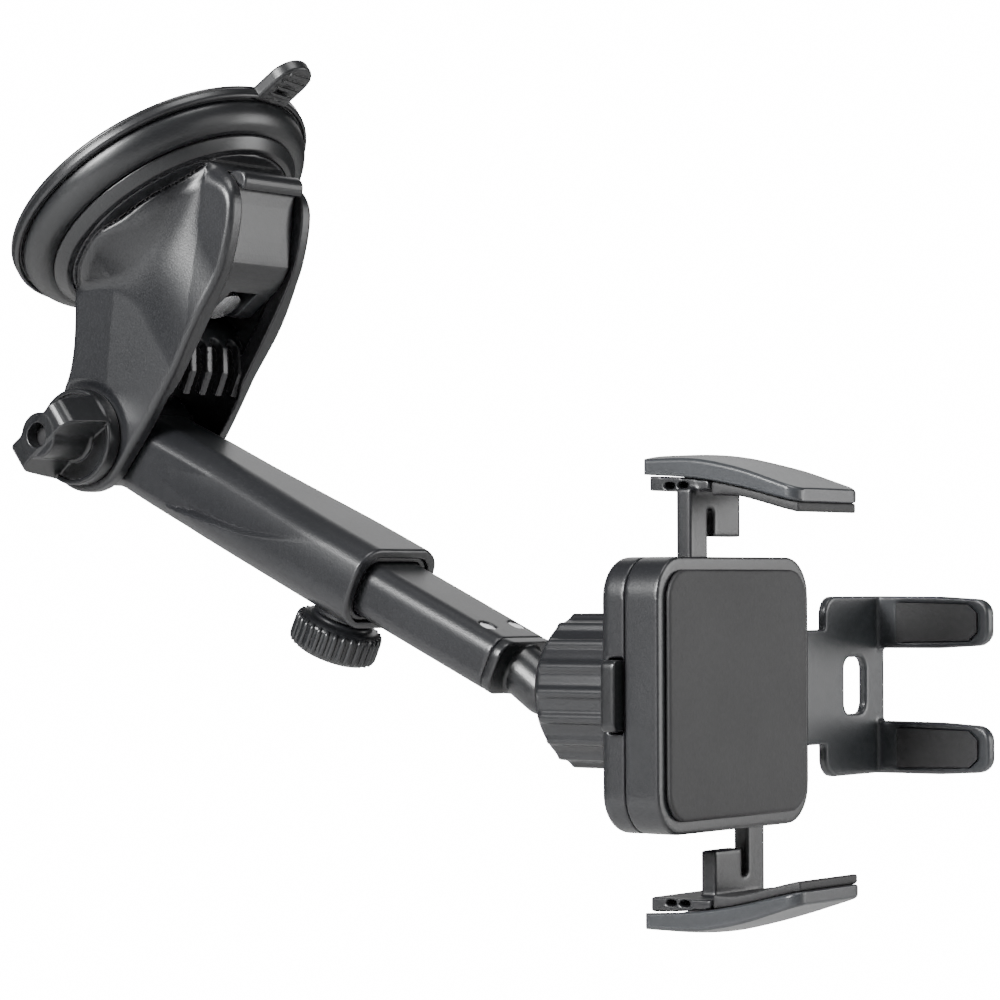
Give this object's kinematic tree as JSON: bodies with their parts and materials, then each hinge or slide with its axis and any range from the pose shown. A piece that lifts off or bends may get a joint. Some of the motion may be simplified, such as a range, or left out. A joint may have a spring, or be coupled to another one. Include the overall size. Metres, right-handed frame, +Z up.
{
  "type": "car phone mount",
  "caption": "Suction car phone mount with a lever-locked cup, a pivoting telescopic arm, a ball joint, and a cradle with geared clamp arms and sliding feet.",
  "frame": {"origin": "centre of the suction face, where the cup meets the glass", "axes": "+X along the arm's axle, away from its knob; +Y towards the windshield, away from the phone; +Z up with the cup on a leaning windshield"},
  "size_m": [0.1051, 0.2032, 0.1845],
  "materials": {
    "cup_rubber": "satin",
    "gel": "tacky clear-grey gel",
    "shell": "fine satin moulding",
    "knob_plastic": "fine satin moulding",
    "clamp_plastic": "satin grey moulding",
    "pad_rubber": "matt",
    "nylon": "natural nylon",
    "steel": "bright zinc",
    "spring_steel": "spring wire",
    "brass": "turned"
  },
  "bodies": {
    "base": {"suction_cup": "cup_rubber", "gel_pad": "gel", "cup_ring": "knob_plastic", "ring_screws": "steel", "plunger_spring": "spring_steel", "cam_plate": "steel", "base_housing": "shell", "pivot_bolt": "steel", "bolt_cover": "knob_plastic", "friction_washers": "nylon"},
    "plunger_body": {"plunger": "steel", "plunger_pin": "steel"},
    "lever": {"lock_lever": "shell"},
    "knob": {"pivot_knob": "knob_plastic", "knob_insert": "brass"},
    "arm": {"outer_tube": "shell", "tube_collar": "knob_plastic", "hub_bushes": "nylon", "stud_insert": "brass", "pressure_shoe": "brass"},
    "lock_screw": {"thumb_screw": "knob_plastic", "screw_stud": "steel"},
    "inner_arm": {"inner_tube": "shell", "ball_stud": "knob_plastic", "stud_screws": "steel"},
    "liner": {"liner_cup": "nylon"},
    "collar": {"split_collar": "nylon"},
    "nut": {"ring_nut": "shell"},
    "cradle": {"face_pad": "pad_rubber", "cradle_front": "shell", "cradle_back": "shell", "cradle_screws": "steel", "pinion_axle": "steel", "return_spring": "spring_steel", "button_spring": "spring_steel"},
    "pinion_body": {"pinion": "nylon"},
    "upper_arm": {"upper_arm_cap": "clamp_plastic", "upper_arm_rack": "shell", "upper_arm_pad": "pad_rubber"},
    "lower_arm": {"lower_arm_cap": "clamp_plastic", "lower_arm_rack": "shell", "lower_arm_pad": "pad_rubber"},
    "pawl": {"ratchet_pawl": "nylon"},
    "button": {"release_button": "knob_plastic"},
    "feet": {"foot_bracket": "clamp_plastic", "foot_pads": "pad_rubber"}
  },
  "joints": [
    {"name": "lever_hinge", "type": "hinge", "parent": "plunger_body", "child": "lever", "pos_m": [0, -0.01755, -0.02433], "axis": [1, 0, 0], "range_deg": [0, 95]},
    {"name": "plunger_slide", "type": "slide", "parent": "base", "child": "plunger_body", "axis": [0, 0.585, 0.8111], "range_m": [0, 0.002], "deforming": ["suction_cup", "gel_pad", "plunger_spring"]},
    {"name": "knob_turn", "type": "hinge", "parent": "base", "child": "knob", "pos_m": [-0.02, 0.0079, -0.0556], "axis": [1, 0, 0], "range_deg": [-360, 360]},
    {"name": "arm_pivot", "type": "hinge", "parent": "base", "child": "arm", "pos_m": [0, 0.0079, -0.0556], "axis": [1, 0, 0], "range_deg": [-18, 70]},
    {"name": "tube_slide", "type": "slide", "parent": "arm", "child": "inner_arm", "axis": [0, -0.9063, -0.4226], "range_m": [-0.018, 0.02]},
    {"name": "lock_screw_turn", "type": "hinge", "parent": "arm", "child": "lock_screw", "pos_m": [0, -0.05144, -0.09871], "axis": [0, -0.4226, 0.9063], "range_deg": [-360, 360]},
    {"name": "ball_tilt", "type": "hinge", "parent": "inner_arm", "child": "liner", "pos_m": [0, -0.1195, -0.11019], "axis": [1, 0, 0], "range_deg": [-22, 22]},
    {"name": "ball_pan", "type": "hinge", "parent": "liner", "child": "collar", "pos_m": [0, -0.1195, -0.11019], "axis": [0, 0, 1], "range_deg": [-22, 22]},
    {"name": "ball_spin", "type": "hinge", "parent": "collar", "child": "cradle", "pos_m": [0, -0.1195, -0.11019], "axis": [0, 1, 0], "continuous": true},
    {"name": "nut_turn", "type": "hinge", "parent": "cradle", "child": "nut", "pos_m": [0, -0.1195, -0.11019], "axis": [0, 1, 0], "range_deg": [-180, 180]},
    {"name": "upper_arm_slide", "type": "slide", "parent": "cradle", "child": "upper_arm", "axis": [0, 0, 1], "range_m": [-0.012, 0.009]},
    {"name": "lower_arm_slide", "type": "slide", "parent": "cradle", "child": "lower_arm", "axis": [0, 0, -1], "range_m": [-0.012, 0.009]},
    {"name": "pinion_turn", "type": "hinge", "parent": "cradle", "child": "pinion_body", "pos_m": [0, -0.14565, -0.11019], "axis": [0, 1, 0], "range_deg": [-115, 86.5], "deforming": ["return_spring"]},
    {"name": "button_press", "type": "slide", "parent": "cradle", "child": "button", "axis": [1, 0, 0], "range_m": [0, 0.002], "stiffness_N_per_m": 250, "springref_m": -0.001, "deforming": ["button_spring"]},
    {"name": "pawl_turn", "type": "hinge", "parent": "cradle", "child": "pawl", "pos_m": [-0.0125, -0.14365, -0.10169], "axis": [0, 1, 0], "range_deg": [0, 24.5]},
    {"name": "feet_slide", "type": "slide", "parent": "cradle", "child": "feet", "axis": [1, 0, 0], "range_m": [-0.015, 0.012]}
  ],
  "couplings": [
    {"joint": "lever_hinge", "follows": "plunger_slide", "rad_per_m": 829},
    {"joint": "lower_arm_slide", "follows": "upper_arm_slide", "ratio": 1},
    {"joint": "pinion_turn", "follows": "upper_arm_slide", "rad_per_m": 166.67},
    {"joint": "pawl_turn", "follows": "button_press", "rad_per_m": 209.44}
  ]
}
